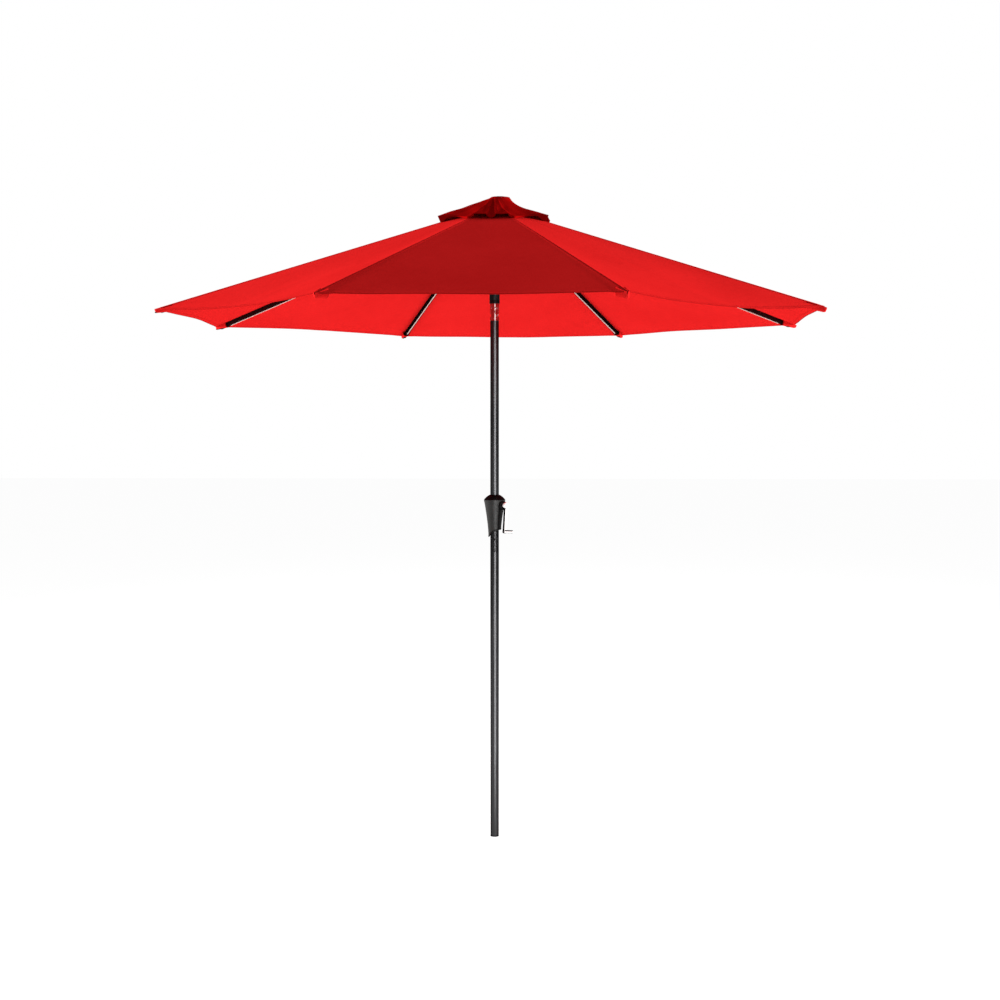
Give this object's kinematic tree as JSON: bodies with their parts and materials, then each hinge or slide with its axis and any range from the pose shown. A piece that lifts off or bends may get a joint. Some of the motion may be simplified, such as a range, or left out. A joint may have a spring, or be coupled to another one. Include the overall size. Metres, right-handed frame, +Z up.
{
  "type": "patio umbrella",
  "caption": "Market umbrella with an octagonal vented cloth canopy, crank lift, push-button tilt and a two-piece pole; no base.",
  "frame": {"origin": "centre of the foot plug's flat underside, on the pole's axis", "axes": "+Z up along the pole, -Y towards the face with the tilt button and the snap button; the crank's shaft points 36 degrees from +X towards -Y"},
  "size_m": [2.465, 2.465, 2.5452],
  "materials": {
    "black_steel": "satin black powder coat",
    "tilt_metal": "glossy dark red",
    "black_plastic": "satin moulded",
    "dome_plastic": "gloss moulded",
    "chrome": "polished",
    "spring_steel": "bright",
    "nylon": "moulded",
    "canopy_cloth": "woven polyester",
    "cord": "braided"
  },
  "bodies": {
    "pole": {"foot_plug": "black_plastic", "lower_pole": "black_steel", "middle_pole": "black_steel", "crank_housing": "black_plastic", "housing_dome": "dome_plastic", "crank_bush": "nylon", "brake_spring": "spring_steel", "tilt_base": "tilt_metal", "tilt_pin": "spring_steel", "tilt_spring": "spring_steel", "snap_spring": "spring_steel", "lift_cord": "cord"},
    "snap_button": {"snap_button": "spring_steel"},
    "crank": {"crank_shaft": "spring_steel", "cord_spool": "nylon", "crank_arm": "chrome"},
    "crank_grip": {"crank_grip": "chrome"},
    "tilt_button": {"tilt_button": "chrome"},
    "upper_pole": {"tilt_knuckle": "tilt_metal", "upper_pole": "black_steel", "top_hub": "black_plastic", "hub_wire": "spring_steel", "pulley_pin": "spring_steel", "cap_nut": "black_plastic", "vent_canopy": "canopy_cloth"},
    "cord_pulley": {"cord_pulley": "nylon"},
    "runner": {"runner": "black_plastic", "runner_wire": "spring_steel"},
    "rib_1": {"rib_1": "black_steel", "rib_cap_1": "black_plastic", "canopy_panel_1": "canopy_cloth"},
    "strut_1": {"strut_1": "black_steel"},
    "rib_2": {"rib_2": "black_steel", "rib_cap_2": "black_plastic", "canopy_panel_2": "canopy_cloth"},
    "strut_2": {"strut_2": "black_steel"},
    "rib_3": {"rib_3": "black_steel", "rib_cap_3": "black_plastic", "canopy_panel_3": "canopy_cloth"},
    "strut_3": {"strut_3": "black_steel"},
    "rib_4": {"rib_4": "black_steel", "rib_cap_4": "black_plastic", "canopy_panel_4": "canopy_cloth"},
    "strut_4": {"strut_4": "black_steel"},
    "rib_5": {"rib_5": "black_steel", "rib_cap_5": "black_plastic", "canopy_panel_5": "canopy_cloth"},
    "strut_5": {"strut_5": "black_steel"},
    "rib_6": {"rib_6": "black_steel", "rib_cap_6": "black_plastic", "canopy_panel_6": "canopy_cloth"},
    "strut_6": {"strut_6": "black_steel"},
    "rib_7": {"rib_7": "black_steel", "rib_cap_7": "black_plastic", "canopy_panel_7": "canopy_cloth"},
    "strut_7": {"strut_7": "black_steel"},
    "rib_8": {"rib_8": "black_steel", "rib_cap_8": "black_plastic", "canopy_panel_8": "canopy_cloth"},
    "strut_8": {"strut_8": "black_steel"}
  },
  "joints": [
    {"name": "canopy_fold", "type": "hinge", "parent": "upper_pole", "child": "rib_1", "pos_m": [0.01454, 0.03511, 2.4834], "axis": [0.9239, -0.3827, 0], "range_deg": [-66.3, 0], "deforming": ["canopy_panel_1", "vent_canopy", "lift_cord"]},
    {"name": "strut_1_swing", "type": "hinge", "parent": "rib_1", "child": "strut_1", "pos_m": [0.17053, 0.41169, 2.33044], "axis": [0.9239, -0.3827, 0], "range_deg": [-0.01, 132.61]},
    {"name": "rib_2_fold", "type": "hinge", "parent": "upper_pole", "child": "rib_2", "pos_m": [0.03511, 0.01454, 2.4834], "axis": [0.3827, -0.9239, 0], "range_deg": [-66.31, 0.01], "deforming": ["canopy_panel_2"]},
    {"name": "strut_2_swing", "type": "hinge", "parent": "rib_2", "child": "strut_2", "pos_m": [0.41169, 0.17053, 2.33044], "axis": [0.3827, -0.9239, 0], "range_deg": [-0.01, 132.61]},
    {"name": "rib_3_fold", "type": "hinge", "parent": "upper_pole", "child": "rib_3", "pos_m": [0.03511, -0.01454, 2.4834], "axis": [-0.3827, -0.9239, 0], "range_deg": [-66.31, 0.01], "deforming": ["canopy_panel_3"]},
    {"name": "strut_3_swing", "type": "hinge", "parent": "rib_3", "child": "strut_3", "pos_m": [0.41169, -0.17053, 2.33044], "axis": [-0.3827, -0.9239, 0], "range_deg": [-0.01, 132.61]},
    {"name": "rib_4_fold", "type": "hinge", "parent": "upper_pole", "child": "rib_4", "pos_m": [0.01454, -0.03511, 2.4834], "axis": [-0.9239, -0.3827, 0], "range_deg": [-66.31, 0.01], "deforming": ["canopy_panel_4"]},
    {"name": "strut_4_swing", "type": "hinge", "parent": "rib_4", "child": "strut_4", "pos_m": [0.17053, -0.41169, 2.33044], "axis": [-0.9239, -0.3827, 0], "range_deg": [-0.01, 132.61]},
    {"name": "rib_5_fold", "type": "hinge", "parent": "upper_pole", "child": "rib_5", "pos_m": [-0.01454, -0.03511, 2.4834], "axis": [-0.9239, 0.3827, 0], "range_deg": [-66.31, 0.01], "deforming": ["canopy_panel_5"]},
    {"name": "strut_5_swing", "type": "hinge", "parent": "rib_5", "child": "strut_5", "pos_m": [-0.17053, -0.41169, 2.33044], "axis": [-0.9239, 0.3827, 0], "range_deg": [-0.01, 132.61]},
    {"name": "rib_6_fold", "type": "hinge", "parent": "upper_pole", "child": "rib_6", "pos_m": [-0.03511, -0.01454, 2.4834], "axis": [-0.3827, 0.9239, 0], "range_deg": [-66.31, 0.01], "deforming": ["canopy_panel_6"]},
    {"name": "strut_6_swing", "type": "hinge", "parent": "rib_6", "child": "strut_6", "pos_m": [-0.41169, -0.17053, 2.33044], "axis": [-0.3827, 0.9239, 0], "range_deg": [-0.01, 132.61]},
    {"name": "rib_7_fold", "type": "hinge", "parent": "upper_pole", "child": "rib_7", "pos_m": [-0.03511, 0.01454, 2.4834], "axis": [0.3827, 0.9239, 0], "range_deg": [-66.31, 0.01], "deforming": ["canopy_panel_7"]},
    {"name": "strut_7_swing", "type": "hinge", "parent": "rib_7", "child": "strut_7", "pos_m": [-0.41169, 0.17053, 2.33044], "axis": [0.3827, 0.9239, 0], "range_deg": [-0.01, 132.61]},
    {"name": "rib_8_fold", "type": "hinge", "parent": "upper_pole", "child": "rib_8", "pos_m": [-0.01454, 0.03511, 2.4834], "axis": [0.9239, 0.3827, 0], "range_deg": [-66.31, 0.01], "deforming": ["canopy_panel_8"]},
    {"name": "strut_8_swing", "type": "hinge", "parent": "rib_8", "child": "strut_8", "pos_m": [-0.17053, 0.41169, 2.33044], "axis": [0.9239, 0.3827, 0], "range_deg": [-0.01, 132.61]},
    {"name": "runner_slide", "type": "hinge", "parent": "strut_1", "child": "runner", "pos_m": [0.01454, 0.03511, 2.17747], "axis": [0.9239, -0.3827, 0], "range_deg": [-66.31, 0.01]},
    {"name": "crank_turn", "type": "hinge", "parent": "pole", "child": "crank", "pos_m": [0, 0, 1.3257], "axis": [0.809, -0.5878, 0], "range_deg": [-3061, 1]},
    {"name": "pulley_turn", "type": "hinge", "parent": "upper_pole", "child": "cord_pulley", "pos_m": [0, 0.01225, 2.5104], "axis": [1, 0, 0], "range_deg": [-2636.68, 1]},
    {"name": "grip_spin", "type": "hinge", "parent": "crank", "child": "crank_grip", "pos_m": [0.05663, -0.04115, 1.2221], "axis": [0.809, -0.5878, 0], "continuous": true},
    {"name": "tilt_hinge", "type": "hinge", "parent": "pole", "child": "upper_pole", "pos_m": [0, 0, 2.09], "axis": [0, 1, 0], "range_deg": [0, 35], "deforming": ["lift_cord"]},
    {"name": "tilt_button_press", "type": "slide", "parent": "pole", "child": "tilt_button", "axis": [0, 1, 0], "range_m": [0, 0.003], "stiffness_N_per_m": 600, "springref_m": -0.002, "deforming": ["tilt_spring"]},
    {"name": "snap_button_press", "type": "slide", "parent": "pole", "child": "snap_button", "axis": [0, 1, 0], "range_m": [0, 0.0045], "stiffness_N_per_m": 600, "springref_m": -0.002, "deforming": ["snap_spring"]}
  ],
  "couplings": [
    {"joint": "strut_1_swing", "follows": "canopy_fold", "ratio": -2},
    {"joint": "rib_2_fold", "follows": "canopy_fold", "ratio": 1},
    {"joint": "strut_2_swing", "follows": "canopy_fold", "ratio": -2},
    {"joint": "rib_3_fold", "follows": "canopy_fold", "ratio": 1},
    {"joint": "strut_3_swing", "follows": "canopy_fold", "ratio": -2},
    {"joint": "rib_4_fold", "follows": "canopy_fold", "ratio": 1},
    {"joint": "strut_4_swing", "follows": "canopy_fold", "ratio": -2},
    {"joint": "rib_5_fold", "follows": "canopy_fold", "ratio": 1},
    {"joint": "strut_5_swing", "follows": "canopy_fold", "ratio": -2},
    {"joint": "rib_6_fold", "follows": "canopy_fold", "ratio": 1},
    {"joint": "strut_6_swing", "follows": "canopy_fold", "ratio": -2},
    {"joint": "rib_7_fold", "follows": "canopy_fold", "ratio": 1},
    {"joint": "strut_7_swing", "follows": "canopy_fold", "ratio": -2},
    {"joint": "rib_8_fold", "follows": "canopy_fold", "ratio": 1},
    {"joint": "strut_8_swing", "follows": "canopy_fold", "ratio": -2},
    {"joint": "runner_slide", "follows": "canopy_fold", "ratio": 1},
    {"joint": "crank_turn", "follows": "canopy_fold", "ratio": 46.154},
    {"joint": "pulley_turn", "follows": "canopy_fold", "ratio": 39.754}
  ]
}
